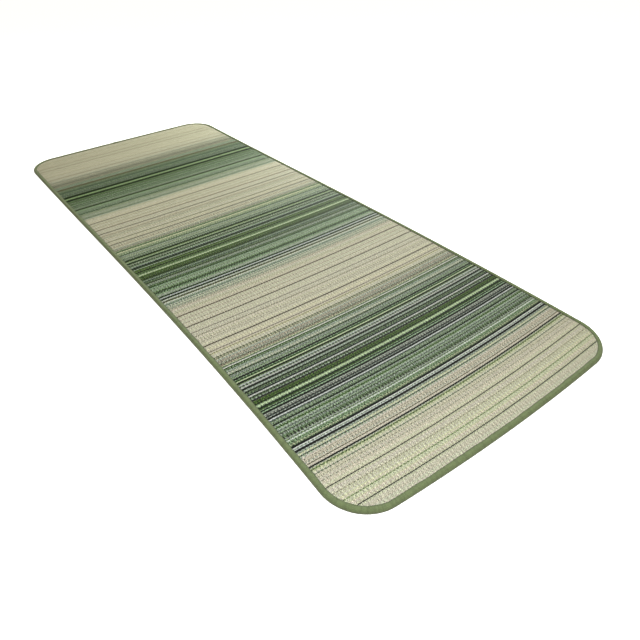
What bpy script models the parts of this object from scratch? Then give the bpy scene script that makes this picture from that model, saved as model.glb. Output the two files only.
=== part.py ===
"""A padded rush floor mat with round corners, edged all round by one folded cloth tape.

Metres, +Z up. The mat lies flat on the surface, its length along Y with the near end at -Y,
and the origin is at the middle of its underside.
"""

import math

import bmesh
import bpy
from mathutils import Vector

# Outline, as the mat lies
WIDTH = 0.700
LENGTH = 1.800
CORNER_RADIUS = 0.085
NEAR_END_BOW = 0.013
FAR_END_BOW = 0.0025
# Both long edges bow to +X, most of all a little nearer than half way
SIDE_BOW = 0.011
SIDE_BOW_LEAN = 0.0114

# Thickness: full over the middle, pressed down to the seam, rolled outside it
MAT_THICKNESS = 0.0105
SEAM_HEIGHT = 0.0110
SWELL_REACH = 0.014
UNDERSIDE_EASE = 0.008

# The tape that is folded over the edge
TAPE_WIDTH = 0.011
TAPE_THICKNESS = 0.001
ROLL_HEIGHT = 0.0122
ROLL_DEPTH = 0.0050
LAP_LENGTH = 0.024
LAP_RISE = 0.0010
LAP_PLACE = -0.020

# What lies against something else keeps this far from it
CLEARANCE = 0.0003

# Fineness of the outline and of its section
CORNER_STEPS = 12
LONG_SIDE_STEPS = 14
END_STEPS = 8
LAP_STEPS = 6
ROLL_STEPS = 8
SWELL_STEPS = 5

# Surfaces, with linear colours
RUSH_COLOUR = (0.53, 0.52, 0.38, 1.0)
RUSH_ROUGHNESS = 0.7
TAPE_COLOUR = (0.23, 0.27, 0.13, 1.0)
TAPE_ROUGHNESS = 0.85
SHARP_ANGLE = math.radians(40)

HALF_WIDTH = WIDTH / 2
HALF_LENGTH = (LENGTH - NEAR_END_BOW - FAR_END_BOW) / 2


def clear_scene():
    for item in list(bpy.data.objects):
        bpy.data.objects.remove(item, do_unlink=True)


def smooth_step(value):
    """0 to 1 with a level start and end."""
    value = min(max(value, 0.0), 1.0)
    return value * value * (3 - 2 * value)


def steps_between(start, end, count):
    """Evenly spaced values from start up to, but not including, end."""
    return [start + (end - start) * step / count for step in range(count)]


def far_end_places():
    """X of the far end's points, left to right, closer together where the tape's ends lap."""
    left = -HALF_WIDTH + CORNER_RADIUS
    lap_left = LAP_PLACE - LAP_LENGTH / 2
    lap_right = LAP_PLACE + LAP_LENGTH / 2
    places = steps_between(left, lap_left, END_STEPS // 2)
    places += steps_between(lap_left, lap_right, LAP_STEPS)
    places += steps_between(lap_right, -left, END_STEPS // 2)
    return places


def flat_outline():
    """(place, outward direction) round the mat before it bows, clockwise seen from above."""
    inner_x = HALF_WIDTH - CORNER_RADIUS
    inner_y = HALF_LENGTH - CORNER_RADIUS
    stations = []

    def side(places, outward):
        stations.extend((Vector(place), Vector(outward)) for place in places)

    def corner(centre_x, centre_y, start_angle):
        for turn in steps_between(0.0, math.pi / 2, CORNER_STEPS):
            angle = start_angle - turn
            outward = Vector((math.cos(angle), math.sin(angle)))
            centre = Vector((centre_x, centre_y))
            stations.append((centre + outward * CORNER_RADIUS, outward))

    side([(x, HALF_LENGTH) for x in far_end_places()], (0, 1))
    corner(inner_x, inner_y, math.pi / 2)
    side([(HALF_WIDTH, y) for y in steps_between(inner_y, -inner_y, LONG_SIDE_STEPS)], (1, 0))
    corner(inner_x, -inner_y, 0.0)
    side([(x, -HALF_LENGTH) for x in steps_between(inner_x, -inner_x, END_STEPS)], (0, -1))
    corner(-inner_x, -inner_y, -math.pi / 2)
    side([(-HALF_WIDTH, y) for y in steps_between(-inner_y, inner_y, LONG_SIDE_STEPS)], (-1, 0))
    corner(-inner_x, inner_y, math.pi)
    return stations


def bowed(place):
    """Where a point of the flat mat lies: both long edges bow to +X, and each end bulges."""
    across = place.x / HALF_WIDTH
    along = place.y / HALF_LENGTH
    sideways = SIDE_BOW * (1 - along**2) - SIDE_BOW_LEAN * (along - along**3)
    near_share = (1 - along) / 2
    bulge = FAR_END_BOW * (1 - near_share) - NEAR_END_BOW * near_share
    return Vector((place.x + sideways, place.y + bulge * (1 - across**2)))


def tape_face():
    """(inset, height) of the tape's outer face, from its lower inner edge round to its upper."""
    points = [(TAPE_WIDTH, 0.0)]
    for step in range(ROLL_STEPS + 1):
        angle = math.pi * step / ROLL_STEPS - math.pi / 2
        inset = ROLL_DEPTH * (1 - math.cos(angle))
        points.append((inset, ROLL_HEIGHT / 2 * (1 + math.sin(angle))))
    middle = (ROLL_DEPTH + TAPE_WIDTH) / 2
    points.append((middle, (ROLL_HEIGHT + SEAM_HEIGHT) / 2))
    points.append((TAPE_WIDTH, SEAM_HEIGHT))
    return [Vector(point) for point in points]


def section_normals(section):
    """The outward direction at each point of a section that runs from the underside up and over."""
    normals = []
    for place in range(len(section)):
        before = section[max(place - 1, 0)]
        after = section[min(place + 1, len(section) - 1)]
        run = (after - before).normalized()
        normals.append(Vector((-run.y, run.x)))
    return normals


def pressed_in(section, distance):
    """The same section, this far inside itself, with its two ends kept at their inset."""
    inner = []
    for point, normal in zip(section, section_normals(section)):
        inner.append(point - normal * distance)
    for end in (0, -1):
        inner[end].x = section[end].x
    return inner


def tape_section(lap):
    """The closed U of the tape, thicker by lap times the overlap of its two ends."""
    face = tape_face()
    outer = []
    for point, normal in zip(face, section_normals(face)):
        lift = lap * LAP_RISE * smooth_step(point.y / (ROLL_HEIGHT / 2))
        outer.append(point + normal * lift)
    outer[-1].x = TAPE_WIDTH
    return outer + pressed_in(face, TAPE_THICKNESS)[::-1]


def mat_section():
    """(inset, height) of the mat's edge, from its flat underside round to its flat top."""
    rim = pressed_in(tape_face(), TAPE_THICKNESS + CLEARANCE)
    start = rim[-1]
    section = [Vector((TAPE_WIDTH + SWELL_REACH, 0.0))]
    section.append(Vector((TAPE_WIDTH + UNDERSIDE_EASE, 0.0)))
    section += rim
    for step in range(1, SWELL_STEPS + 1):
        share = step / SWELL_STEPS
        height = start.y + (MAT_THICKNESS - start.y) * math.sin(share * math.pi / 2)
        section.append(Vector((start.x + SWELL_REACH * share, height)))
    return section


def lap_at(place, outward):
    """1 in the middle of the stretch of the far end where the tape's ends lap, 0 outside it."""
    if outward.y < 1:
        return 0.0
    distance = abs(place.x - LAP_PLACE) / (LAP_LENGTH / 2)
    return smooth_step(2 * (1 - distance))


def ring_points(place, outward, section):
    """The section set up at one station of the outline, in three dimensions."""
    points = []
    for point in section:
        lies_at = bowed(place - outward * point.x)
        points.append(Vector((lies_at.x, lies_at.y, point.y)))
    return points


def origin_of(rings):
    """The middle of the rings' extent, on the surface that the mat lies on."""
    xs = [point.x for ring in rings for point in ring]
    ys = [point.y for ring in rings for point in ring]
    return Vector(((min(xs) + max(xs)) / 2, (min(ys) + max(ys)) / 2, 0.0))


def tape_rings():
    return [ring_points(place, out, tape_section(lap_at(place, out))) for place, out in flat_outline()]


def add_rings(mesh, rings, origin, closed_section):
    """Adds the rings' points and the faces between each ring and the next, facing outwards."""
    placed = [[mesh.verts.new(point - origin) for point in ring] for ring in rings]
    size = len(rings[0])
    for station, ring in enumerate(placed):
        following = placed[(station + 1) % len(placed)]
        for place in range(size if closed_section else size - 1):
            other = (place + 1) % size
            mesh.faces.new((ring[place], following[place], following[other], ring[other]))
    return placed


def add_cap(mesh, loop):
    """Fills a loop with rungs across the mat, from the middle of the far end to the near end's."""
    far = max(range(len(loop)), key=lambda place: loop[place].co.y)
    loop = loop[far:] + loop[:far]
    right, left = 1, len(loop) - 1
    mesh.faces.new((loop[0], loop[right], loop[left]))
    while left - right > 2:
        mesh.faces.new((loop[right], loop[right + 1], loop[left - 1], loop[left]))
        right += 1
        left -= 1
    if left - right == 2:
        mesh.faces.new((loop[right], loop[right + 1], loop[left]))


def material(name, colour, roughness):
    made = bpy.data.materials.new(name)
    made.use_nodes = True
    shader = made.node_tree.nodes["Principled BSDF"]
    shader.inputs["Base Color"].default_value = colour
    shader.inputs["Roughness"].default_value = roughness
    shader.inputs["Metallic"].default_value = 0.0
    made.diffuse_color = colour
    return made


def finish_object(name, mesh, surface):
    bmesh.ops.recalc_face_normals(mesh, faces=mesh.faces)
    data = bpy.data.meshes.new(name)
    mesh.to_mesh(data)
    mesh.free()
    data.shade_smooth()
    data.set_sharp_from_angle(angle=SHARP_ANGLE)
    data.materials.append(surface)
    made = bpy.data.objects.new(name, data)
    bpy.context.scene.collection.objects.link(made)
    return made


def make_tape(origin):
    mesh = bmesh.new()
    add_rings(mesh, tape_rings(), origin, closed_section=True)
    surface = material("woven cotton tape", TAPE_COLOUR, TAPE_ROUGHNESS)
    return finish_object("edge_tape", mesh, surface)


def make_mat(origin):
    section = mat_section()
    rings = [ring_points(place, outward, section) for place, outward in flat_outline()]
    mesh = bmesh.new()
    placed = add_rings(mesh, rings, origin, closed_section=False)
    for end in (0, -1):
        add_cap(mesh, [ring[end] for ring in placed])
    return finish_object("rush_mat", mesh, material("woven rush", RUSH_COLOUR, RUSH_ROUGHNESS))


def main():
    clear_scene()
    origin = origin_of(tape_rings())
    make_mat(origin)
    make_tape(origin)


main()
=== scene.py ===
"""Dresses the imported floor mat: dyed rush woven in stripes, a folded cloth tape, its stitches.

Metres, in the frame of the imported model. A place on the mat is worked out on its flat cut first,
x across and y along with the near end at -y, and is then laid as the real mat lies, a little bowed.
"""

import math
import random
from collections import namedtuple
from functools import partial

import bmesh
import bpy
import numpy as np
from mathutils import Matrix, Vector


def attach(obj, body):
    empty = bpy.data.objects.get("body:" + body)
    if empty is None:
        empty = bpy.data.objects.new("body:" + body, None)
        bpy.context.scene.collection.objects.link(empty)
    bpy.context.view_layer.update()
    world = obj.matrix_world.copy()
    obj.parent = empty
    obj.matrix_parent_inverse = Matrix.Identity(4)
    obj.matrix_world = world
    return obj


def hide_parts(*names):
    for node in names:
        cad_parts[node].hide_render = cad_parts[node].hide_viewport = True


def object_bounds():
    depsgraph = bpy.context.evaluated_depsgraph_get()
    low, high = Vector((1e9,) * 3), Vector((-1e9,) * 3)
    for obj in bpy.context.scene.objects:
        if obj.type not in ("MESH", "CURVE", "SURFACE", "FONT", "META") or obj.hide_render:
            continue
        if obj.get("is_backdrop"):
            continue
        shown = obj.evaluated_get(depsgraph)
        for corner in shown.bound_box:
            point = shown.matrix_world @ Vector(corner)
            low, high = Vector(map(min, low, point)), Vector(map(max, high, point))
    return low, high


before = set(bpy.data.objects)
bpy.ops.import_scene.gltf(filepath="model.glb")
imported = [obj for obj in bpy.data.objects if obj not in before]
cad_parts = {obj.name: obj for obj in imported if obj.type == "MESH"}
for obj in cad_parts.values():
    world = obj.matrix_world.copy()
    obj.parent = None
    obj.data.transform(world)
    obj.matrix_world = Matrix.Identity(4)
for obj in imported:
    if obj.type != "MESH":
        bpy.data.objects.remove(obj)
CAD_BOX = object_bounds()

bl_info = {
    "name": "Striped Rush Floor Mat",
    "version": (1, 0, 0),
    "blender": (4, 5, 0),
    "location": "3D View > Sidebar > Floor Mat",
    "description": "Dresses a padded floor mat in striped woven rush with a folded cloth tape",
    "category": "Object",
}

BODY = "root"
MM = 0.001

# The dyed rushes, by the colour that each gives the woven face
DYES = {
    "natural": "B5B49C",
    "blush": "B9B2A1",
    "lime": "B4B896",
    "white": "CFD2C8",
    "frost": "B1B6B0",
    "silver": "929B8D",
    "fawn": "8F8875",
    "taupe": "87816F",
    "umber": "3A2E20",
    "olive": "757645",
    "leaf": "A9BA93",
    "sprout": "8CA867",
    "mint": "7E9674",
    "sage": "687B5B",
    "lichen": "4A5E41",
    "slate": "3D4844",
    "plum": "423D43",
    "moss": "445B28",
    "bottle": "203912",
    "ink": "070904",
}

# The weaver's bundles, from which the rushes of a ground are dealt in a shuffled order
BUNDLES = {
    "plain": "natural natural blush natural lime natural blush",
    "limed": "lime lime natural lime blush",
    "dusty": "natural blush natural fawn lime natural silver",
    "blushed": "blush silver blush natural blush natural",
    "silvered": "silver sage natural silver silver mint",
    "frosted": "silver sage silver lichen sage mint",
    "limy": "lime sage mint lichen lime sage",
    "misty": "sage lichen silver sage slate silver lichen",
    "mottled": "lichen sage slate silver lichen ink sage",
    "hazy": "sage lichen silver sage silver lichen mint",
    "shady": "lichen sage moss silver lichen slate sage",
    "slaty": "slate lichen silver ink slate sage plum",
    "greened": "moss lichen sage bottle moss mint",
    "mossy": "moss bottle moss sage ink moss",
    "bottled": "bottle moss ink bottle lichen bottle",
    "inky": "ink slate bottle ink",
    "minty": "mint leaf mint mint sage",
    "taupey": "taupe silver fawn taupe sage silver",
    "umbery": "taupe umber lichen moss lichen fawn lichen",
}


def draft(kind, text):
    """A draft's entries: a place in mm from the near end, a name and, for some, one word more."""
    entries = [entry.split() for entry in text.split(",")]
    return [kind(float(place), *words) for place, *words in entries]


# The ground is woven from one bundle up to the next start, or fades gradually into the next one
Ground = namedtuple("Ground", "start bundle fades", defaults=("",))
GROUNDS = draft(Ground, """
    0 plain, 40 limed, 63 plain, 117 limed, 127 blushed, 156 silvered, 163 frosted, 183 limy,
    198 misty, 203 frosted, 231 greened, 237 frosted, 243 misty, 250 slaty, 254 silvered, 262 misty,
    274 greened, 293 minty, 301 mossy, 313 slaty, 333 misty, 342 frosted, 352 misty, 365 greened,
    387 misty, 399 slaty, 404 silvered, 415 misty, 424 frosted, 434 taupey, 454 taupey fades,
    464 plain, 640 plain fades, 668 dusty fades, 682 silvered, 703 shady, 731 frosted, 747 mossy,
    758 frosted, 770 shady, 822 mossy, 845.5 minty, 850 greened, 863 mossy, 875 shady, 883 inky,
    892 hazy, 914 bottled, 921 minty, 926 mossy, 936 hazy, 953 limy, 964 frosted, 974 limy,
    1000 taupey, 1012 dusty, 1040 plain, 1068 dusty, 1102 plain, 1215 dusty, 1232 silvered, 1258 limy,
    1268 frosted, 1274 hazy, 1294 frosted, 1304 bottled, 1312 hazy, 1330 shady, 1342 hazy, 1354 shady,
    1372 greened, 1381 bottled, 1397 minty, 1406 bottled, 1422 mottled, 1444 shady, 1474 umbery,
    1492 frosted, 1510 taupey, 1542 taupey fades, 1572 dusty fades, 1590 plain
""")

# Lines thrown in over the ground, one rush wide where no number says otherwise
Line = namedtuple("Line", "place dye rushes", defaults=("1",))
LINES = draft(Line, """
    33 ink, 84 ink, 115.5 lichen, 130.5 ink 2, 137.5 umber, 158 ink, 161.5 lime, 170.5 ink 3,
    173 frost, 178.5 white, 181 ink 3, 197 white, 212 lichen, 219 ink, 234 bottle, 238.5 silver,
    241.5 ink 2, 251.5 slate 2, 255.5 frost 2, 259.5 ink 3, 272 silver, 275.5 ink 3, 279 mint 2,
    282 ink 2, 285 mint, 287 bottle, 291 ink 2, 298 leaf 2, 303 ink, 306 moss, 309 bottle, 311.5 moss,
    315 ink 2, 327 frost 2, 330.5 ink 2, 340.5 ink 2, 345.5 silver 2, 351 ink 3, 355 frost, 362 frost,
    370 ink 3, 373.5 leaf 2, 377.5 bottle 2, 381 mint, 384 ink 3, 413 silver, 421.5 bottle 2,
    424.5 white, 428.5 bottle, 431 lime, 434 taupe, 457 fawn, 462.5 ink, 477.5 olive, 486 umber,
    507.5 umber 2, 563.5 umber, 588 umber 2, 604 fawn, 635 umber 2, 675 taupe, 692.5 slate, 700 white,
    712 white, 718.5 ink 3, 724 frost 2, 729 ink 3, 736 silver 2, 743 mint 2, 753 ink, 762 mint,
    776 mint 2, 783 bottle 2, 799 silver, 803 ink 2, 812 slate 2, 825 ink 2, 847.5 leaf 2, 862 ink,
    878 silver, 896 silver, 904 ink, 917 ink 3, 925 leaf, 932 ink 2, 962 silver 2, 992 lichen 3,
    1022 taupe, 1039 umber 2, 1101 fawn, 1115 umber 2, 1142 umber 2, 1160 fawn, 1177 fawn,
    1191 umber 2, 1239 lichen 2, 1274 bottle 2, 1300 mint 3, 1309 ink 3, 1341 bottle 2, 1390 ink 4,
    1402 sprout 2, 1405 mint, 1413 ink 3, 1482 umber 2, 1512 taupe 3, 1526 umber 2, 1585 fawn 2,
    1672 fawn 3, 1698 fawn 2, 1742 fawn
""")
# Lines that dip under their neighbours at every other warp
DASHED_LINES = draft(Line, """
    51 moss, 68 taupe, 98 fawn, 108 fawn, 124.5 moss 2, 144.5 fawn, 150 fawn, 165 sage, 188 bottle,
    201 moss, 205 ink, 208.5 ink, 224 slate, 264.5 ink, 267 ink, 269.5 plum, 323.5 ink 2, 335.5 ink,
    358 ink, 396 slate, 401 ink 2, 437.5 umber, 449.5 fawn, 524 fawn, 532 fawn, 549 umber, 619 fawn,
    665 taupe, 707 umber 2, 947 ink, 970 bottle 2, 1060 umber 2, 1455 slate 2, 1612 fawn 2
""")

# Columns of the mat's mesh, in mm from its rim, and whether the underside has them too
EDGE_COLUMNS = (
    (0.0, True), (0.6, False), (1.6, True), (3.4, False), (6.5, True), (9.0, True),
    (11.5, False), (14.5, False), (18.0, True), (24.0, False), (35.0, True),
)
# Columns between those, as shares of the half width that is left
MIDDLE_COLUMNS = ((-0.7, False), (-0.35, False), (0.0, True), (0.35, False), (0.7, False))

# Fineness of the outline, of the tape's stations and of the stitches' line
OUTLINE_PITCH = 2 * MM
TAPE_PITCH = 2.2 * MM
SEAM_PITCH = 4 * MM
# Steps of the tape's section: each inner fold, the roll outside and inside, and the top
FOLD_STEPS = 3
ROLL_STEPS = 14
INNER_STEPS = 8
TOP_STEPS = 7

# The mat keeps this far from the tape's inside, and its woven face starts a little further in
TUCK_GAP = 0.4 * MM
FACE_START = 0.25 * MM
# How far from the tape the ribs reach their full depth
RIB_FADE = 4 * MM
# Half the width of the stitches' groove, and where the inner fold's painted shade starts and over how
# far it deepens
GROOVE_REACH = 0.7 * MM
FOLD_SHADE_START = 1.6 * MM
FOLD_SHADE_REACH = 1.0 * MM
# How far each part of the tape's face follows a pucker: the roll's crown, the top, the inner fold
ROLL_GIVE = 0.8
TOP_GIVE = 1.0
FOLD_GIVE = 0.6
# Each stitch turns at most this far, in radians, and its middle stands this share of a thread up
STITCH_SLANT = 0.07
THREAD_STANDS = 0.15
# Puckers: their depths and steps as shares of those set, their widths, and how far they slant
PUCKER_DEPTHS = (0.25, 1.4)
PUCKER_STEPS = (0.6, 1.4)
PUCKER_WIDTHS = (0.9 * MM, 2.1 * MM)
PUCKER_SLANT = 0.22
# How often each wave of the inner fold repeats all round, and its share of the waver
WAVES = (17, 29, 47, 71, 113)
WAVE_SHARE = 0.45
# Shares of the lap's length in which its upper end steps up and settles again
LAP_STEP = 0.09
LAP_SETTLE = 0.7

# How far a rush strays from its dye, in brightness and from cool to warm
TONE_SPREAD = 0.06
WARMTH_SPREAD = 0.02
# Fibre shows as streaks of this length and width. A rush's tone changes over this length, and the
# next rush's tone lies this far on in the noise.
FIBRE_LENGTH = 9 * MM
FIBRE_WIDTH = 0.25 * MM
TONE_LENGTH = 14 * MM
TONE_STEP = 0.71
# The tape's real threads are finer than this, and these are drawn coarse to show
TAPE_THREAD = 0.8 * MM
# Ends of a ramp: what noise stays between, and the brightness of dark and of pale rush
NOISE = (0.3, 0.7)
DARK_TO_PALE = (0.1, 0.45)

# The photograph's camera, and where the lights stand
CAMERA_PLACE = (-0.6702, -1.2249, 0.7655)
CAMERA_DEGREES = (51.995, 2.259, -35.189)
CAMERA_LENS = {"lens": 31.487, "sensor_width": 36.0, "shift_x": 0.04646}
KEY_LIGHT = {"place": (-0.8, -1.6, 2.0), "aim": (-0.8, -1.4, 0.0), "size": 0.8, "colour": "F1F6FF"}
SIDE_LIGHT = {"place": (1.26, 0.92, 0.8), "aim": (0.1, 0.3, 0.0), "size": 1.1, "colour": "F8FFF8"}
ROOM_COLOUR = "FFE4B4"
FLOOR_REACH = 15.0


def metres(name, description, default):
    """A setting in metres."""
    return bpy.props.FloatProperty(name=name, description=description, default=default, unit="LENGTH")


class MatSizes(bpy.types.PropertyGroup):
    """The mat's flat cut, how it lies and how thick it is."""

    width: metres("Width", "Across the flat mat", 0.700)
    length: metres("Length", "Along the mat as it lies", 1.800)
    corner_radius: metres("Corner radius", "Of the cut", 0.085)
    near_end_bow: metres("Near end bow", "How far it bulges", 0.013)
    far_end_bow: metres("Far end bow", "How far it bulges", 0.0025)
    side_bow: metres("Side bow", "How far both sides bow to +X", 0.011)
    side_bow_lean: metres("Side bow lean", "What moves the bow nearer", 0.0114)
    thickness: metres("Thickness", "Of the padded middle", 0.0105)
    swell_reach: metres("Swell", "From the seam to full thickness", 0.014)
    underside_ease: metres("Underside ease", "From the tape to flat", 0.008)


class RushWeave(bpy.types.PropertyGroup):
    """The rushes and the warps that they are woven on."""

    rush_pitch: metres("Rush pitch", "From rush to rush", 0.0015)
    warp_pitch: metres("Warp pitch", "From warp to warp", 0.0038)
    rib_height: metres("Rib height", "How deep the gaps lie", 0.00025)
    unevenness: bpy.props.FloatProperty(
        name="Unevenness", description="Of the rushes' thickness", default=0.35, subtype="FACTOR")
    seed: bpy.props.IntProperty(
        name="Seed", description="Chooses the rush of each row", default=7)


class TapeSizes(bpy.types.PropertyGroup):
    """The cloth tape that is folded over the mat's edge."""

    width: metres("Width", "From the edge to the inner fold", 0.011)
    thickness: metres("Thickness", "Of the turned-in cloth", 0.001)
    roll_height: metres("Roll height", "Over the rolled edge", 0.0122)
    roll_depth: metres("Roll depth", "Half the roll's width", 0.0050)
    seam_height: metres("Seam height", "At the inner fold", 0.0110)
    lap_place: metres("Lap place", "Where its two ends lap", -0.020)
    lap_length: metres("Lap length", "Of the overlap", 0.024)
    lap_rise: metres("Lap rise", "Of the overlap", 0.0010)
    pucker_pitch: metres("Pucker pitch", "Along the tape", 0.0055)
    pucker_depth: metres("Pucker depth", "Of a mean pucker", 0.0002)
    waver: metres("Waver", "Of the inner fold's line", 0.0004)
    colour: bpy.props.StringProperty(
        name="Colour", description="sRGB hex colour of the cloth", default="65734A")
    seed: bpy.props.IntProperty(
        name="Seed", description="Chooses where the puckers fall", default=11)


class StitchSizes(bpy.types.PropertyGroup):
    """The row of stitches that holds the tape's inner fold down."""

    pitch: metres("Pitch", "From stitch to stitch", 0.0035)
    length: metres("Length", "Of the thread that shows", 0.0029)
    thread: metres("Thread", "Thickness of the thread", 0.0006)
    inset: metres("Inset", "From the tape's inner fold", 0.0018)
    groove: metres("Groove", "How far it pulls the tape in", 0.0003)
    colour: bpy.props.StringProperty(
        name="Colour", description="sRGB hex colour of the thread", default="717F58")
    seed: bpy.props.IntProperty(
        name="Seed", description="Chooses each stitch's slight slant", default=3)


class StageLooks(bpy.types.PropertyGroup):
    """The floor and the soft lights."""

    floor_colour: bpy.props.StringProperty(
        name="Floor colour", description="sRGB hex colour of the floor", default="FAFAF8")
    floor_glow: bpy.props.FloatProperty(
        name="Floor glow", description="Keeps the floor as white as paper", default=0.9, min=0.0)
    key_power: bpy.props.FloatProperty(
        name="Key light", description="Light over the near left corner", default=66.6, unit="POWER")
    side_power: bpy.props.FloatProperty(
        name="Side light", description="Low light on the right", default=31.4, unit="POWER")
    room_light: bpy.props.FloatProperty(
        name="Room light", description="Strength of the even light", default=0.27, min=0.0)


def linear_channel(value):
    return value / 12.92 if value <= 0.04045 else ((value + 0.055) / 1.055) ** 2.4


def linear(hex_colour):
    """An sRGB hex colour as linear RGBA."""
    channels = [int(hex_colour[place:place + 2], 16) / 255 for place in (0, 2, 4)]
    return (*[linear_channel(value) for value in channels], 1.0)


class MatForm:
    """The shape of the mat, worked out on its flat cut and laid as it lies."""

    def __init__(self, sizes, tape):
        self.sizes = sizes
        self.tape = tape
        self.half_width = sizes.width / 2
        self.half_length = (sizes.length - sizes.near_end_bow - sizes.far_end_bow) / 2
        self.straight_x = self.half_width - sizes.corner_radius
        self.straight_y = self.half_length - sizes.corner_radius
        # What lies inside the tape keeps this far from its outer face
        self.rim_gap = tape.thickness + TUCK_GAP
        places, _, _ = self.outline(OUTLINE_PITCH)
        x, y = self.bowed(places[:, 0], places[:, 1])
        self.origin = ((x.min() + x.max()) / 2, (y.min() + y.max()) / 2)

    def bowed(self, x, y):
        """Where points of the flat mat lie: both long edges bow to +X, and each end bulges."""
        across = x / self.half_width
        along = y / self.half_length
        sideways = self.sizes.side_bow * (1 - along**2)
        sideways -= self.sizes.side_bow_lean * (along - along**3)
        near_share = (1 - along) / 2
        bulge = self.sizes.far_end_bow * (1 - near_share) - self.sizes.near_end_bow * near_share
        return x + sideways, y + bulge * (1 - across**2)

    def laid(self, x, y, z):
        """Points of the flat mat in the model's frame, with x, y and z last."""
        lies_x, lies_y = self.bowed(x, y)
        lies_x = lies_x - self.origin[0]
        lies_y = lies_y - self.origin[1]
        return np.stack(np.broadcast_arrays(lies_x, lies_y, z), axis=-1)

    def inset(self, x, y):
        """How far in from the cut's outline points of the flat mat are."""
        beyond_x = np.abs(x) - self.straight_x
        beyond_y = np.abs(y) - self.straight_y
        round_corner = np.hypot(np.maximum(beyond_x, 0), np.maximum(beyond_y, 0))
        straight = np.minimum(np.maximum(beyond_x, beyond_y), 0)
        return self.sizes.corner_radius - round_corner - straight

    def half_width_at(self, y, inset):
        """Half the mat's width at y, measured to the line that lies this far in from the outline."""
        radius = self.sizes.corner_radius - inset
        beyond = np.maximum(np.abs(y) - self.straight_y, 0)
        return self.straight_x + np.sqrt(np.maximum(radius**2 - beyond**2, 0))

    def rim_rise(self, inset):
        """Half the height of the mat's rim inside the rolled tape, at this inset."""
        rise = self.tape.roll_height / 2 - self.rim_gap
        reach = self.tape.roll_depth - self.rim_gap
        share = np.clip((self.tape.roll_depth - inset) / reach, 0, 1)
        return rise * np.sqrt(1 - share**2)

    def top(self, inset):
        """Height of the woven face: rolled in the tape, pressed at the seam, full over the middle."""
        tape = self.tape
        seam = tape.seam_height - self.rim_gap
        crest = tape.roll_height - self.rim_gap
        rim = tape.roll_height / 2 + self.rim_rise(inset)
        slope = crest + (seam - crest) * (inset - tape.roll_depth) / (tape.width - tape.roll_depth)
        share = np.clip((inset - tape.width) / self.sizes.swell_reach, 0, 1)
        swell = seam + (self.sizes.thickness - seam) * np.sin(share * math.pi / 2)
        height = np.where(inset < tape.roll_depth, rim, slope)
        return np.where(inset > tape.width, swell, height)

    def bottom(self, inset):
        """Height of the underside: clear of the tape's lower layer, then flat on the floor."""
        rim = self.tape.roll_height / 2 - self.rim_rise(inset)
        share = np.clip((inset - self.tape.width) / self.sizes.underside_ease, 0, 1)
        ease = self.rim_gap * (1 - share * share * (3 - 2 * share))
        return np.where(inset < self.tape.roll_depth, rim, ease)

    def outline(self, pitch):
        """(places, outward directions, distances) round the flat cut, clockwise from the far end."""
        radius = self.sizes.corner_radius
        quarter = radius * math.pi / 2
        places, outwards, distances = [], [], []
        walked = 0.0
        for turn in range(4):
            side = 2 * (self.straight_x, self.straight_y)[turn % 2]
            depth = (self.half_length, self.half_width)[turn % 2]
            angle = math.pi / 2 * (1 - turn)
            outward = np.array((math.cos(angle), math.sin(angle)))
            onward = np.array((math.sin(angle), -math.cos(angle)))
            centre = outward * (depth - radius) + onward * side / 2
            # First the straight side, which ends beside the corner's centre, and then the corner
            for run, straight, bend in ((side, side, 0.0), (quarter, 0.0, math.pi / 2)):
                steps = np.arange(round(run / pitch)) / round(run / pitch)
                turned = angle - steps * bend
                normals = np.stack((np.cos(turned), np.sin(turned)), axis=-1)
                behind = np.outer(straight * (1 - steps), onward)
                places.append(centre + normals * radius - behind)
                outwards.append(normals)
                distances.append(walked + run * steps)
                walked += run
        self.perimeter = walked
        return np.concatenate(places), np.concatenate(outwards), np.concatenate(distances)


def current_form():
    scene = bpy.context.scene
    return MatForm(scene.mat_sizes, scene.mat_tape)


# Short names for the kinds of node that come up most, with their properties. A ramp is fed a
# value, the two ends of its range and what those become.
KINDS = {operation: ("ShaderNodeMath", {"operation": operation}) for operation in (
    "ADD", "SUBTRACT", "MULTIPLY", "MULTIPLY_ADD", "DIVIDE", "MAXIMUM", "FLOOR", "FRACT", "MODULO",
    "SINE", "COSINE")}
KINDS["SCALE"] = ("ShaderNodeVectorMath", {"operation": "SCALE"})
KINDS["RAMP"] = ("ShaderNodeMapRange", {"interpolation_type": "SMOOTHSTEP"})


def node(tree, kind, feeds=(), **settings):
    """Adds a node of this kind, or of one that KINDS has a short name for, with these properties.

    Feeds are its inputs, in order or by name: a value, a socket, or a node for its first output.
    """
    kind, preset = KINDS.get(kind, (kind, {}))
    made = tree.nodes.new(kind)
    for name, value in {**preset, **settings}.items():
        setattr(made, name, value)
    for key, source in feeds.items() if isinstance(feeds, dict) else enumerate(feeds):
        if isinstance(source, bpy.types.Node):
            source = next(output for output in source.outputs if output.enabled)
        if isinstance(source, bpy.types.NodeSocket):
            tree.links.new(source, made.inputs[key])
        else:
            made.inputs[key].default_value = source
    return made


def product(add, *factors):
    """The factors multiplied, from first to last."""
    result = factors[0]
    for factor in factors[1:]:
        result = add("MULTIPLY", (result, factor))
    return result


def new_material(name):
    """(material, what adds a node to its emptied tree)"""
    material = bpy.data.materials.new(name)
    material.use_nodes = True
    material.node_tree.nodes.clear()
    return material, partial(node, material.node_tree)


def end_material(add, feeds):
    """Ends a material's tree in one surface with these inputs."""
    add("ShaderNodeOutputMaterial", [add("ShaderNodeBsdfPrincipled", feeds)])


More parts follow.
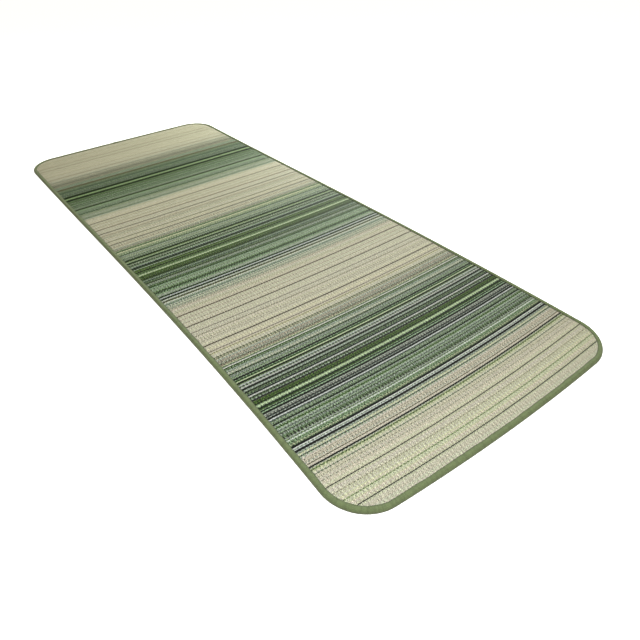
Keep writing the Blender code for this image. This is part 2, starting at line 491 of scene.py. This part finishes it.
def woven_rush(weave):
    """Dried rush, dyed and woven over thin warps: waxy, a little shiny along its grain, and each
    rush shows as short grains, staggered from row to row, painted lighter on their crowns and with
    painted shade in the dips and in the gaps between the rows."""
    material, add = new_material("woven rush")
    cut = add("ShaderNodeUVMap", uv_map="flat_cut")
    across, along = add("ShaderNodeSeparateXYZ", [cut]).outputs[:2]
    row = add("DIVIDE", (along, weave.rush_pitch))
    number = add("FLOOR", [row])
    through = add("FRACT", [row])
    odd = add("MODULO", (number, 2.0))
    stagger = add("MULTIPLY", (odd, 0.5))
    grains = add("MULTIPLY_ADD", (across, 1 / (2 * weave.warp_pitch), stagger))
    swing = add("COSINE", [add("MULTIPLY", (grains, 2 * math.pi))])
    belly = add("SINE", [add("MULTIPLY", (through, math.pi))])
    # Every other rush is drawn tighter, so its grains stand less proud and take less painted shade. On
    # pale rush, which light shines through, the grains' painted shade is weaker too.
    own = add("ShaderNodeAttribute", attribute_name="rush_dye")
    paleness = add("ShaderNodeRGBToBW", [own])
    slack = add("MULTIPLY_ADD", (odd, -0.4, 0.5))
    slack = product(add, slack, add("RAMP", (paleness, *DARK_TO_PALE, 1.05, 0.65)))
    lift = product(add, add("MULTIPLY_ADD", (swing, slack, 0.5)), belly)

    # Where a rush dips under a warp, its two neighbours swell over it
    dip = add("MULTIPLY_ADD", (swing, 0.4, -0.4))
    showing = add("RAMP", (add("ADD", (belly, dip)), 0.0, 0.4))
    beside = add("ShaderNodeAttribute", attribute_name="dye_beside")
    dyed = add("ShaderNodeMix", {"Factor": showing, "A": beside, "B": own}, data_type="RGBA")

    # Streaks of the fibre, and slow changes of tone along each rush
    streaks = add("ShaderNodeCombineXYZ", (
        add("DIVIDE", (across, FIBRE_LENGTH)), add("DIVIDE", (along, FIBRE_WIDTH))))
    fibre = add("ShaderNodeTexNoise", {"Vector": streaks, "Scale": 1.0})
    tones = add("ShaderNodeCombineXYZ", (
        add("DIVIDE", (across, TONE_LENGTH)), add("MULTIPLY", (number, TONE_STEP))))
    tone = add("ShaderNodeTexNoise", {"Vector": tones, "Scale": 1.0})

    # Each quarter of a grain is lighter or darker than the next, most of all on dark rush
    specks = []
    for shift in (0.0, 1.0):
        quarter = add("FLOOR", [add("MULTIPLY_ADD", (grains, 4.0, shift))])
        cell = add("ShaderNodeCombineXYZ", (quarter, number))
        specks.append(add("ShaderNodeTexWhiteNoise", [cell]))
    strength = add("RAMP", (paleness, *DARK_TO_PALE, 2.0, 0.55))
    speckled = add("MULTIPLY_ADD", (add("SUBTRACT", specks), strength, 1.0))
    # Painted light and shade: the grains' crowns are painted lighter, and the dips and the gaps
    # between the rows darker; fibre, tone and specks are the rush's own
    shade = product(
        add,
        add("RAMP", (lift, -0.15, 0.75, 0.42, 1.34)),
        add("RAMP", (fibre, *NOISE, 0.91, 1.08)),
        add("RAMP", (tone, *NOISE, 0.9, 1.1)),
        add("MAXIMUM", (speckled, 0.05)),
    )
    height = add("MULTIPLY_ADD", (fibre, 0.12, lift))
    relief = {"Height": height, "Distance": 0.35 * MM, "Strength": 0.7}
    end_material(add, {
        "Base Color": add("SCALE", {"Vector": dyed, "Scale": shade}),
        "Roughness": add("RAMP", (fibre, *NOISE, 0.6, 0.75)),
        "Specular IOR Level": 0.2,
        "Normal": add("ShaderNodeBump", relief),
    })
    return material


def woven_cotton_tape(tape):
    """Cotton tape, dyed and plain woven: matt and faintly ribbed, painted a little lighter between its
    puckers, and with painted shade in them and along its inner fold."""
    material, add = new_material("woven cotton tape")
    cut = add("ShaderNodeUVMap", uv_map="tape_cut")
    threads = []
    for direction in add("ShaderNodeSeparateXYZ", [cut]).outputs[:2]:
        turn = add("MULTIPLY", (direction, math.pi / TAPE_THREAD))
        threads.append(add("SINE", [turn]))
    weave = product(add, *threads)
    # The puckers' depth and the inner fold's nearness, from which shade is painted into the cloth's
    # colour
    pucker = add("ShaderNodeAttribute", attribute_name="pucker").outputs["Fac"]
    fold = add("ShaderNodeAttribute", attribute_name="fold").outputs["Fac"]
    spots = add("ShaderNodeTexNoise", {"Vector": cut, "Scale": 1 / (14 * MM), "Detail": 3.0})
    fuzz = add("ShaderNodeTexNoise", {"Vector": cut, "Scale": 1 / (1.8 * MM), "Detail": 2.0})
    # Painted shade: darker in the puckers, a little lighter between them, and darker along the inner
    # fold
    shade = product(
        add,
        add("RAMP", (weave, -1.0, 1.0, 0.93, 1.06)),
        add("RAMP", (pucker, 0.0, 1.0, 1.03, 0.88)),
        add("RAMP", (fold, 0.0, 1.0, 1.0, 0.42)),
        add("RAMP", (spots, *NOISE, 0.94, 1.06)),
        add("RAMP", (fuzz, *NOISE, 0.83, 1.16)),
    )
    height = add("MULTIPLY_ADD", (fuzz, 0.6, weave))
    relief = {"Height": height, "Distance": 0.12 * MM, "Strength": 0.6}
    end_material(add, {
        "Base Color": add("SCALE", {"Vector": linear(tape.colour)[:3], "Scale": shade}),
        "Roughness": add("RAMP", (fuzz, *NOISE, 0.8, 0.92)),
        "Sheen Weight": 0.15,
        "Sheen Roughness": 0.5,
        "Normal": add("ShaderNodeBump", relief),
    })
    return material


def spun_polyester(stitch):
    """Spun polyester sewing thread: two plies, a soft gloss, and slightly lighter than the tape."""
    material, add = new_material("spun polyester thread")
    place = add("ShaderNodeTexCoord").outputs["Object"]
    plies = add("ShaderNodeTexNoise", {"Vector": place, "Scale": 1 / (0.35 * MM)})
    shade = add("RAMP", (plies, *NOISE, 0.8, 1.1))
    relief = {"Height": plies, "Distance": 0.1 * MM, "Strength": 0.5}
    end_material(add, {
        "Base Color": add("SCALE", {"Vector": linear(stitch.colour)[:3], "Scale": shade}),
        "Roughness": 0.5,
        "Normal": add("ShaderNodeBump", relief),
    })
    return material


def matt_white_floor(looks):
    """Matt white board, rolled with paint: even, with the faintest mottle."""
    material, add = new_material("matt white board")
    place = add("ShaderNodeTexCoord").outputs["Object"]
    mottle = add("ShaderNodeTexNoise", {"Vector": place, "Scale": 1 / (111 * MM), "Detail": 4.0})
    shade = add("RAMP", (mottle, *NOISE, 0.99, 1.0))
    colour = linear(looks.floor_colour)
    end_material(add, {
        "Base Color": add("SCALE", {"Vector": colour[:3], "Scale": shade}),
        "Roughness": 0.9,
        "Specular IOR Level": 0.1,
        "Emission Color": colour,
        "Emission Strength": looks.floor_glow,
    })
    return material


def grid_faces(rows, columns, first=0, closed=False):
    """Corners of the quads of a grid of points, row after row from first on."""
    row = np.arange(rows if closed else rows - 1)
    column = np.arange(columns if closed else columns - 1)
    row, column = np.meshgrid(row, column, indexing="ij")
    after_row = (row + 1) % rows
    after_column = (column + 1) % columns
    corners = [row * columns + column, after_row * columns + column]
    corners += [after_row * columns + after_column, row * columns + after_column]
    return first + np.stack(corners, axis=-1).reshape(-1, 4)


def new_mesh(name, points, faces):
    """A mesh of these points and faces."""
    mesh = bpy.data.meshes.new(name)
    mesh.from_pydata(points.tolist(), [], faces)
    mesh.update()
    return mesh


def facing_out(mesh):
    """Turns a closed mesh's faces outwards, if they point in."""
    made = bmesh.new()
    made.from_mesh(mesh)
    if made.calc_volume(signed=True) < 0:
        bmesh.ops.reverse_faces(made, faces=made.faces)
    made.to_mesh(mesh)
    made.free()
    mesh.shade_smooth()


def per_corner(mesh, values):
    """Each corner's value, from one for each point."""
    corners = np.empty(len(mesh.loops), dtype=np.int32)
    mesh.loops.foreach_get("vertex_index", corners)
    return values[corners]


def add_uv(mesh, name, places):
    layer = mesh.uv_layers.new(name=name)
    layer.data.foreach_set("uv", places.astype(np.float32).ravel())


def add_float(mesh, name, values):
    attribute = mesh.attributes.new(name, "FLOAT", "POINT")
    attribute.data.foreach_set("value", values.astype(np.float32).ravel())


def add_dye(mesh, name, face_colours):
    """A colour for each face, kept on its corners."""
    counts = np.empty(len(mesh.polygons), dtype=np.int32)
    mesh.polygons.foreach_get("loop_total", counts)
    attribute = mesh.attributes.new(name, "FLOAT_COLOR", "CORNER")
    colours = np.repeat(face_colours, counts, axis=0).astype(np.float32)
    attribute.data.foreach_set("color", colours.ravel())


def linked(name, data):
    made = bpy.data.objects.new(name, data)
    bpy.context.scene.collection.objects.link(made)
    return made


def dealt_rushes(places, chance):
    """The dye of the ground's rush at each place, in mm from the near end."""
    hands = {name: [] for name in BUNDLES}
    names = []
    number = 0
    for place in places:
        while number + 1 < len(GROUNDS) and GROUNDS[number + 1].start <= place:
            number += 1
        ground = GROUNDS[number]
        if ground.fades:
            following = GROUNDS[number + 1]
            passed = (place - ground.start) / (following.start - ground.start)
            if chance.random() < passed:
                ground = following
        hand = hands[ground.bundle]
        if not hand:
            hand.extend(BUNDLES[ground.bundle].split())
            chance.shuffle(hand)
        names.append(hand.pop())
    return names


def rush_dyes(count, pitch, start, seed):
    """(colour of each rush, colour over its dips), linear, from the near end on."""
    chance = random.Random(seed)
    names = dealt_rushes([(start + (row + 0.5) * pitch) / MM for row in range(count)], chance)
    solid = np.zeros(count, dtype=bool)
    for lines, shows_whole in ((LINES, True), (DASHED_LINES, False)):
        for line in lines:
            rushes = int(line.rushes)
            first = round((line.place * MM - start) / pitch - rushes / 2)
            names[first:first + rushes] = [line.dye] * rushes
            solid[first:first + rushes] = shows_whole
    colours = np.array([linear(DYES[name]) for name in names])
    for row in range(count):
        tone = chance.gauss(1.0, TONE_SPREAD)
        warmth = chance.gauss(0.0, WARMTH_SPREAD)
        colours[row, :3] *= (tone * (1 + warmth), tone, tone * (1 - warmth))
    colours = np.clip(colours, 0.0, 1.0)
    before = np.concatenate((colours[:1], colours[:-1]))
    after = np.concatenate((colours[1:], colours[-1:]))
    beside = np.where(solid[:, None], colours, (before + after) / 2)
    return colours, beside


def run_nodes(made, tree, values):
    """Runs a geometry tree on an object with these inputs, and keeps the result as a plain mesh."""
    modifier = made.modifiers.new(tree.name, "NODES")
    modifier.node_group = tree
    for item in tree.interface.items_tree:
        if item.item_type == "SOCKET" and item.in_out == "INPUT" and item.name in values:
            modifier[item.identifier] = values[item.name]
    graph = bpy.context.evaluated_depsgraph_get()
    mesh = bpy.data.meshes.new_from_object(made.evaluated_get(graph))
    name = made.name
    bpy.data.objects.remove(made)
    mesh.name = name
    return linked(name, mesh)


def new_tree(name, sockets):
    """(tree, what adds a node to it, its inputs' outputs by name), from each input's kind by name."""
    tree = bpy.data.node_groups.new(name, "GeometryNodeTree")
    tree.interface.new_socket("Geometry", in_out="OUTPUT", socket_type="NodeSocketGeometry")
    for label, kind in {"Geometry": "Geometry", **sockets}.items():
        tree.interface.new_socket(label, in_out="INPUT", socket_type="NodeSocket" + kind)
    add = partial(node, tree)
    return tree, add, add("NodeGroupInput").outputs


def end_tree(add, geometry, material):
    """Ends a tree in plain meshes of one material."""
    real = add("GeometryNodeRealizeInstances", [geometry])
    finish = add("GeometryNodeSetMaterial", {"Geometry": real, "Material": material})
    add("NodeGroupOutput", [finish])


def rib_tree():
    """Sinks the gaps between the rushes, each by its own depth."""
    tree, add, given = new_tree("rush ribs", {
        "Rib height": "Float", "Unevenness": "Float", "Seed": "Int", "Rush": "Material"})
    gap = add("GeometryNodeInputNamedAttribute", {"Name": "gap"}, data_type="FLOAT")
    row = add("GeometryNodeInputNamedAttribute", {"Name": "row"}, data_type="INT")
    depth = add("FunctionNodeRandomValue", {
        "Min": add("SUBTRACT", (1.0, given["Unevenness"])),
        "Max": add("ADD", (1.0, given["Unevenness"])),
        "ID": row,
        "Seed": given["Seed"],
    }, data_type="FLOAT")
    sunk = product(add, gap, given["Rib height"], depth, -1.0)
    normal = add("GeometryNodeInputNormal")
    offset = add("SCALE", {"Vector": normal, "Scale": sunk})
    moved = add("GeometryNodeSetPosition", {"Geometry": given["Geometry"], "Offset": offset})
    end_tree(add, moved, given["Rush"])
    return tree


def mat_columns():
    """(distance in from the rim or share of the middle, kind, on the underside) left to right."""
    left = [(distance * MM, -1, under) for distance, under in EDGE_COLUMNS]
    middle = [(share, 0, under) for share, under in MIDDLE_COLUMNS]
    right = [(distance * MM, 1, under) for distance, under in reversed(EDGE_COLUMNS)]
    return left + middle + right


def mat_grid(form, lines, rim):
    """x of each column at each line across the flat mat."""
    half = form.half_width_at(lines, rim)
    reach = EDGE_COLUMNS[-1][0] * MM
    columns = []
    for amount, side, _ in mat_columns():
        columns.append(side * (half - amount) if side else amount * (half - reach))
    return np.stack(columns, axis=-1)


def end_cap(top_row, under_row, under_columns):
    """Faces that close one end, from the underside's row up to the top's."""
    faces = []
    for place in range(len(under_columns) - 1):
        first, last = under_columns[place], under_columns[place + 1]
        upper = [top_row + column for column in range(last, first - 1, -1)]
        faces.append([under_row + place, under_row + place + 1] + upper)
    return faces


def mat_faces(rows, columns, under_columns):
    """(faces, the row of each): the woven face, the underside, both rims and both ends."""
    under = rows * columns
    width = len(under_columns)
    top = grid_faces(rows, columns)
    below = grid_faces(rows, width, first=under)[:, ::-1]
    row = np.arange(rows - 1)
    first, below_first = row * columns, under + row * width
    last, below_last = first + columns - 1, below_first + width - 1
    left = np.stack((first, below_first, below_first + width, first + columns), axis=-1)
    right = np.stack((last, last + columns, below_last + width, below_last), axis=-1)
    faces = [*top.tolist(), *below.tolist(), *left.tolist(), *right.tolist()]
    strips = [np.repeat(row, columns - 1), np.repeat(row, width - 1), row, row]
    near = end_cap(0, under, under_columns)
    far = end_cap((rows - 1) * columns, under + (rows - 1) * width, under_columns)
    faces += [face[::-1] for face in near] + far
    strips += [np.zeros(len(near), int), np.full(len(far), rows - 2)]
    return faces, np.concatenate(strips)


class MAT_OT_weave(bpy.types.Operator):
    """Weaves the padded rush mat in place of its plain solid"""

    bl_idname = "floor_mat.weave"
    bl_label = "Weave the mat"

    def execute(self, context):
        form = current_form()
        weave = context.scene.mat_weave
        rim = form.rim_gap + FACE_START
        start = -form.half_length + rim
        count = round(-2 * start / weave.rush_pitch)
        weave.rush_pitch = -2 * start / count
        lines = np.linspace(start, -start, 2 * count + 1)
        x = mat_grid(form, lines, rim)
        y = np.broadcast_to(lines[:, None], x.shape)
        under_columns = [number for number, column in enumerate(mat_columns()) if column[2]]
        inset = form.inset(x, y)
        top = form.laid(x, y, form.top(inset)).reshape(-1, 3)
        below = form.laid(x, y, form.bottom(inset))[:, under_columns].reshape(-1, 3)
        faces, strips = mat_faces(len(lines), x.shape[1], under_columns)
        mesh = new_mesh("woven_rush_mat", np.concatenate((top, below)), faces)

        def both(values):
            return np.concatenate((values.ravel(), values[:, under_columns].ravel()))

        flat = np.stack((both(x), both(y - start)), axis=-1)
        add_uv(mesh, "flat_cut", per_corner(mesh, flat))
        number = np.broadcast_to(np.arange(len(lines))[:, None], x.shape)
        clear_of_tape = np.clip((inset - form.tape.width) / RIB_FADE, 0, 1)
        add_float(mesh, "gap", both((number % 2 == 0) * clear_of_tape))
        attribute = mesh.attributes.new("row", "INT", "POINT")
        attribute.data.foreach_set("value", both(number // 2).astype(np.int32))
        dyes, beside = rush_dyes(count, weave.rush_pitch, rim, weave.seed)
        add_dye(mesh, "rush_dye", dyes[strips // 2])
        add_dye(mesh, "dye_beside", beside[strips // 2])
        facing_out(mesh)
        mat = linked("woven_rush_mat", mesh)
        mat = run_nodes(mat, rib_tree(), {
            "Rib height": weave.rib_height,
            "Unevenness": weave.unevenness,
            "Seed": weave.seed,
            "Rush": woven_rush(weave),
        })
        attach(mat, BODY)
        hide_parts("rush_mat")
        return {"FINISHED"}


def tape_section(tape, stitch):
    """(points, give) of the tape's closed section: (inset, height), and how far each point puckers,
    from its lower fold out round the roll to its upper fold and back inside."""
    fold = tape.thickness / 2
    points, give = [], []

    def add(inset, height, gives):
        points.append((inset, height))
        give.append(gives)

    def add_fold(middle, gives):
        """The round of the turned-in cloth at an inner fold, from the top of it down."""
        for step in range(FOLD_STEPS + 1):
            angle = math.pi / 2 - math.pi * step / FOLD_STEPS
            add(tape.width - fold + fold * math.cos(angle), middle + fold * math.sin(angle), gives)

    add_fold(fold, 0.0)
    add((tape.width + tape.roll_depth) / 2, 0.0, 0.0)
    for step in range(ROLL_STEPS + 1):
        angle = math.pi * step / ROLL_STEPS - math.pi / 2
        inset = tape.roll_depth * (1 - math.cos(angle))
        height = tape.roll_height / 2 * (1 + math.sin(angle))
        add(inset, height, max(0.0, math.sin(angle / 2 + math.pi / 4)) * ROLL_GIVE)
    run = tape.width - fold - tape.roll_depth
    fall = tape.roll_height - tape.seam_height
    for step in range(1, TOP_STEPS):
        share = step / TOP_STEPS
        inset = tape.roll_depth + run * share
        from_stitch = (inset - (tape.width - stitch.inset)) / GROOVE_REACH
        groove = stitch.groove * math.exp(-from_stitch**2)
        add(inset, tape.roll_height - fall * share - groove, TOP_GIVE)
    add_fold(tape.seam_height - fold, FOLD_GIVE)
    inner_rise = tape.roll_height / 2 - tape.thickness
    inner_reach = tape.roll_depth - tape.thickness
    for step in range(INNER_STEPS + 1):
        angle = math.pi / 2 - math.pi * step / INNER_STEPS
        inset = tape.roll_depth - inner_reach * math.cos(angle)
        add(inset, tape.roll_height / 2 + inner_rise * math.sin(angle), 0.0)
    return np.array(points), np.array(give)


def pucker_depths(form, distances, across, seed):
    """0 to about 1.5 for each station and section point: how deep the tape is puckered there."""
    tape = form.tape
    chance = random.Random(seed)
    depths = np.zeros((len(distances), len(across)))
    place = 0.0
    while place < form.perimeter:
        depth = chance.uniform(*PUCKER_DEPTHS)
        slant = chance.gauss(0.0, PUCKER_SLANT)
        width = chance.uniform(*PUCKER_WIDTHS)
        offset = distances[:, None] - place - slant * across[None, :]
        offset = (offset + form.perimeter / 2) % form.perimeter - form.perimeter / 2
        depths += depth * np.exp(-((offset / width) ** 2))
        place += chance.uniform(*PUCKER_STEPS) * tape.pucker_pitch
    return depths


def slow_waver(distances, perimeter, seed):
    """Mostly -1 to 1 along the tape, closed on itself, from a few waves 40 to 300 mm long."""
    chance = random.Random(seed)
    value = np.zeros(len(distances))
    for wave in WAVES:
        phase = chance.uniform(0, 2 * math.pi)
        value += WAVE_SHARE * np.sin(2 * math.pi * wave * distances / perimeter + phase)
    return value


def lap_height(tape, places, outwards):
    """0 to 1, on the far side alone: the tape's upper end steps up and settles along the lap."""
    past = (places[:, 0] - tape.lap_place) / tape.lap_length + 0.5
    rise = np.clip(past / LAP_STEP, 0, 1)
    settle = np.clip((1 - past) / LAP_SETTLE, 0, 1)
    return rise * settle * np.isclose(outwards[:, 1], 1)


class MAT_OT_bind(bpy.types.Operator):
    """Folds the cloth tape over the mat's edge in place of its plain solid"""

    bl_idname = "floor_mat.bind"
    bl_label = "Bind the edge"

    def execute(self, context):
        form = current_form()
        tape = form.tape
        stitch = context.scene.mat_stitches
        section, give = tape_section(tape, stitch)
        places, outwards, distances = form.outline(TAPE_PITCH)
        run = np.roll(section, -1, axis=0) - section
        across = np.concatenate(([0.0], np.cumsum(np.hypot(run[:, 0], run[:, 1]))))
        tangent = np.roll(section, -1, axis=0) - np.roll(section, 1, axis=0)
        tangent /= np.linalg.norm(tangent, axis=1)[:, None]
        normals = np.stack((-tangent[:, 1], tangent[:, 0]), axis=-1)
        depths = pucker_depths(form, distances, across[:-1], tape.seed)
        lift = -tape.pucker_depth * depths * give
        lap = lap_height(tape, places, outwards)
        lift += tape.lap_rise * lap[:, None] * give
        waver = slow_waver(distances, form.perimeter, tape.seed)[:, None] * tape.waver
        inner_share = np.clip((section[:, 0] - tape.roll_depth) / (tape.width - tape.roll_depth), 0, 1)
        inset = section[None, :, 0] + lift * normals[None, :, 0] + waver * inner_share * (give > 0)
        height = np.maximum(section[None, :, 1] + lift * normals[None, :, 1], 0.0)
        x = places[:, None, 0] - outwards[:, None, 0] * inset
        y = places[:, None, 1] - outwards[:, None, 1] * inset
        points = form.laid(x, y, height)
        stations, size = x.shape
        faces = grid_faces(stations, size, closed=True)
        mesh = new_mesh("folded_edge_tape", points.reshape(-1, 3), faces.tolist())

        # Each quad's corners are station and next station, at one section point and the next
        starts = np.append(distances, form.perimeter)
        station, place = np.meshgrid(np.arange(stations), np.arange(size), indexing="ij")
        u = np.stack((starts[station], starts[station + 1], starts[station + 1], starts[station]), -1)
        v = np.stack((across[place], across[place], across[place + 1], across[place + 1]), -1)
        add_uv(mesh, "tape_cut", np.stack((u, v), axis=-1))
        # The puckers' depth, from which the tape's colour is painted darker in them, as shade
        add_float(mesh, "pucker", depths * (give > 0))
        # Painted shade along the inner fold: the tape darkens over the last of its width before the
        # fold
        from_fold = tape.width - section[:, 0]
        seam = np.clip((FOLD_SHADE_START - from_fold) / FOLD_SHADE_REACH, 0, 1)
        add_float(mesh, "fold", np.broadcast_to(seam, x.shape))
        facing_out(mesh)
        mesh.materials.append(woven_cotton_tape(tape))
        band = linked("folded_edge_tape", mesh)
        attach(band, BODY)
        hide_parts("edge_tape")
        return {"FINISHED"}


def stitch_tree():
    """A stitch at every pitch along a line, each a little askew."""
    tree, add, given = new_tree("stitch row", {
        "Pitch": "Float", "Length": "Float", "Thread": "Float",
        "Slant": "Float", "Seed": "Int", "Yarn": "Material"})
    feeds = {"Curve": given["Geometry"], "Length": given["Pitch"]}
    points = add("GeometryNodeResampleCurve", feeds, mode="LENGTH")
    ball = add("GeometryNodeMeshUVSphere", {"Segments": 6, "Rings": 5, "Radius": 0.5})
    shape = add("ShaderNodeCombineXYZ", (given["Length"], given["Thread"], given["Thread"]))
    thread = add("GeometryNodeTransform", {"Geometry": ball, "Scale": shape})
    smooth = add("GeometryNodeSetShadeSmooth", [thread])
    tangent = add("GeometryNodeInputTangent")
    along = add("FunctionNodeAlignRotationToVector", {"Vector": tangent}, axis="X")
    askew = add("FunctionNodeRandomValue", {
        "Min": add("MULTIPLY", (given["Slant"], -1.0)),
        "Max": given["Slant"],
        "Seed": given["Seed"],
    }, data_type="FLOAT")
    turn = add("ShaderNodeCombineXYZ", {"Z": askew})
    feeds = {"Rotation": along, "Rotate By": turn}
    turned = add("FunctionNodeRotateRotation", feeds, rotation_space="LOCAL")
    feeds = {"Points": points, "Instance": smooth, "Rotation": turned}
    end_tree(add, add("GeometryNodeInstanceOnPoints", feeds), given["Yarn"])
    return tree


class MAT_OT_stitch(bpy.types.Operator):
    """Sews the tape's inner fold down all round the mat"""

    bl_idname = "floor_mat.stitch"
    bl_label = "Stitch the tape"

    def execute(self, context):
        form = current_form()
        tape = form.tape
        stitch = context.scene.mat_stitches
        inset = tape.width - stitch.inset
        share = (inset - tape.roll_depth) / (tape.width - tape.roll_depth)
        height = tape.roll_height - (tape.roll_height - tape.seam_height) * share
        height += THREAD_STANDS * stitch.thread - stitch.groove
        places, outwards, distances = form.outline(SEAM_PITCH)
        inset = inset + slow_waver(distances, form.perimeter, tape.seed) * tape.waver * share
        height = height + tape.lap_rise * lap_height(tape, places, outwards)
        line = places - outwards * inset[:, None]
        points = form.laid(line[:, 0], line[:, 1], height)
        curve = bpy.data.curves.new("tape_stitches", "CURVE")
        curve.dimensions = "3D"
        spline = curve.splines.new("POLY")
        spline.points.add(len(points) - 1)
        spline.points.foreach_set("co", np.append(points, np.ones((len(points), 1)), 1).ravel())
        spline.use_cyclic_u = True
        row = run_nodes(linked("tape_stitches", curve), stitch_tree(), {
            "Pitch": stitch.pitch,
            "Length": stitch.length,
            "Thread": stitch.thread,
            "Slant": STITCH_SLANT,
            "Seed": stitch.seed,
            "Yarn": spun_polyester(stitch),
        })
        if not row.data.polygons:
            raise RuntimeError("the stitch row is empty")
        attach(row, BODY)
        return {"FINISHED"}


def add_light(name, power, place, aim, size, colour):
    """A soft square light that the camera doesn't see."""
    data = bpy.data.lights.new(name, "AREA")
    data.shape = "SQUARE"
    data.size = size
    data.energy = power
    data.color = linear(colour)[:3]
    made = linked(name, data)
    made.location = place
    made.rotation_euler = (Vector(aim) - Vector(place)).to_track_quat("-Z", "Y").to_euler()
    made.visible_camera = False


class MAT_OT_stage(bpy.types.Operator):
    """Sets up the pale floor, the soft lights and the camera"""

    bl_idname = "floor_mat.stage"
    bl_label = "Set the stage"

    def execute(self, context):
        looks = context.scene.mat_stage
        made = bmesh.new()
        bmesh.ops.create_grid(made, x_segments=8, y_segments=8, size=FLOOR_REACH)
        mesh = bpy.data.meshes.new("floor")
        made.to_mesh(mesh)
        made.free()
        mesh.materials.append(matt_white_floor(looks))
        floor = linked("floor", mesh)
        # The glowing floor doesn't light the tape's outer side from below
        floor.visible_diffuse = False
        floor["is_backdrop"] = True
        add_light("key", looks.key_power, **KEY_LIGHT)
        add_light("side", looks.side_power, **SIDE_LIGHT)
        world = bpy.data.worlds.new("soft room")
        world.use_nodes = True
        # The mat is lit by a warm room, and the camera sees a backdrop as white as the floor
        world.node_tree.nodes.clear()
        add = partial(node, world.node_tree)
        seen = add("ShaderNodeLightPath").outputs["Is Camera Ray"]
        room = [channel * looks.room_light for channel in linear(ROOM_COLOUR)[:3]]
        feeds = {"Factor": seen, "A": (*room, 1.0), "B": (1.0, 1.0, 1.0, 1.0)}
        backdrop = add("ShaderNodeMix", feeds, data_type="RGBA")
        add("ShaderNodeOutputWorld", [add("ShaderNodeBackground", [backdrop])])
        context.scene.world = world
        context.scene.view_settings.view_transform = "Standard"
        lens = bpy.data.cameras.new("camera")
        for name, value in CAMERA_LENS.items():
            setattr(lens, name, value)
        camera = linked("camera", lens)
        camera.location = CAMERA_PLACE
        camera.rotation_euler = [math.radians(angle) for angle in CAMERA_DEGREES]
        context.scene.camera = camera
        return {"FINISHED"}


class MAT_PT_panel(bpy.types.Panel):
    """The floor mat's steps, in order"""

    bl_idname = "MAT_PT_panel"
    bl_label = "Floor Mat"
    bl_space_type = "VIEW_3D"
    bl_region_type = "UI"
    bl_category = "Floor Mat"

    def draw(self, context):
        for step in STEPS:
            self.layout.operator(step.bl_idname)


STEPS = (MAT_OT_weave, MAT_OT_bind, MAT_OT_stitch, MAT_OT_stage)
SETTINGS = {
    "mat_sizes": MatSizes,
    "mat_weave": RushWeave,
    "mat_tape": TapeSizes,
    "mat_stitches": StitchSizes,
    "mat_stage": StageLooks,
}


def register():
    for kind in (*SETTINGS.values(), *STEPS, MAT_PT_panel):
        bpy.utils.register_class(kind)
    for name, kind in SETTINGS.items():
        setattr(bpy.types.Scene, name, bpy.props.PointerProperty(type=kind))


def unregister():
    for name in SETTINGS:
        delattr(bpy.types.Scene, name)
    for kind in (MAT_PT_panel, *STEPS, *SETTINGS.values()):
        bpy.utils.unregister_class(kind)


def write_sizes():
    """Gathers the CAD's box and the dressed model's, and writes neither."""
    boxes = {"cad": CAD_BOX, "visual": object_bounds()}
    {name: [list(corner) for corner in box] for name, box in boxes.items()}


def main():
    register()
    bpy.ops.floor_mat.weave()
    bpy.ops.floor_mat.bind()
    bpy.ops.floor_mat.stitch()
    bpy.ops.floor_mat.stage()
    write_sizes()


if __name__ == "__main__":
    main()
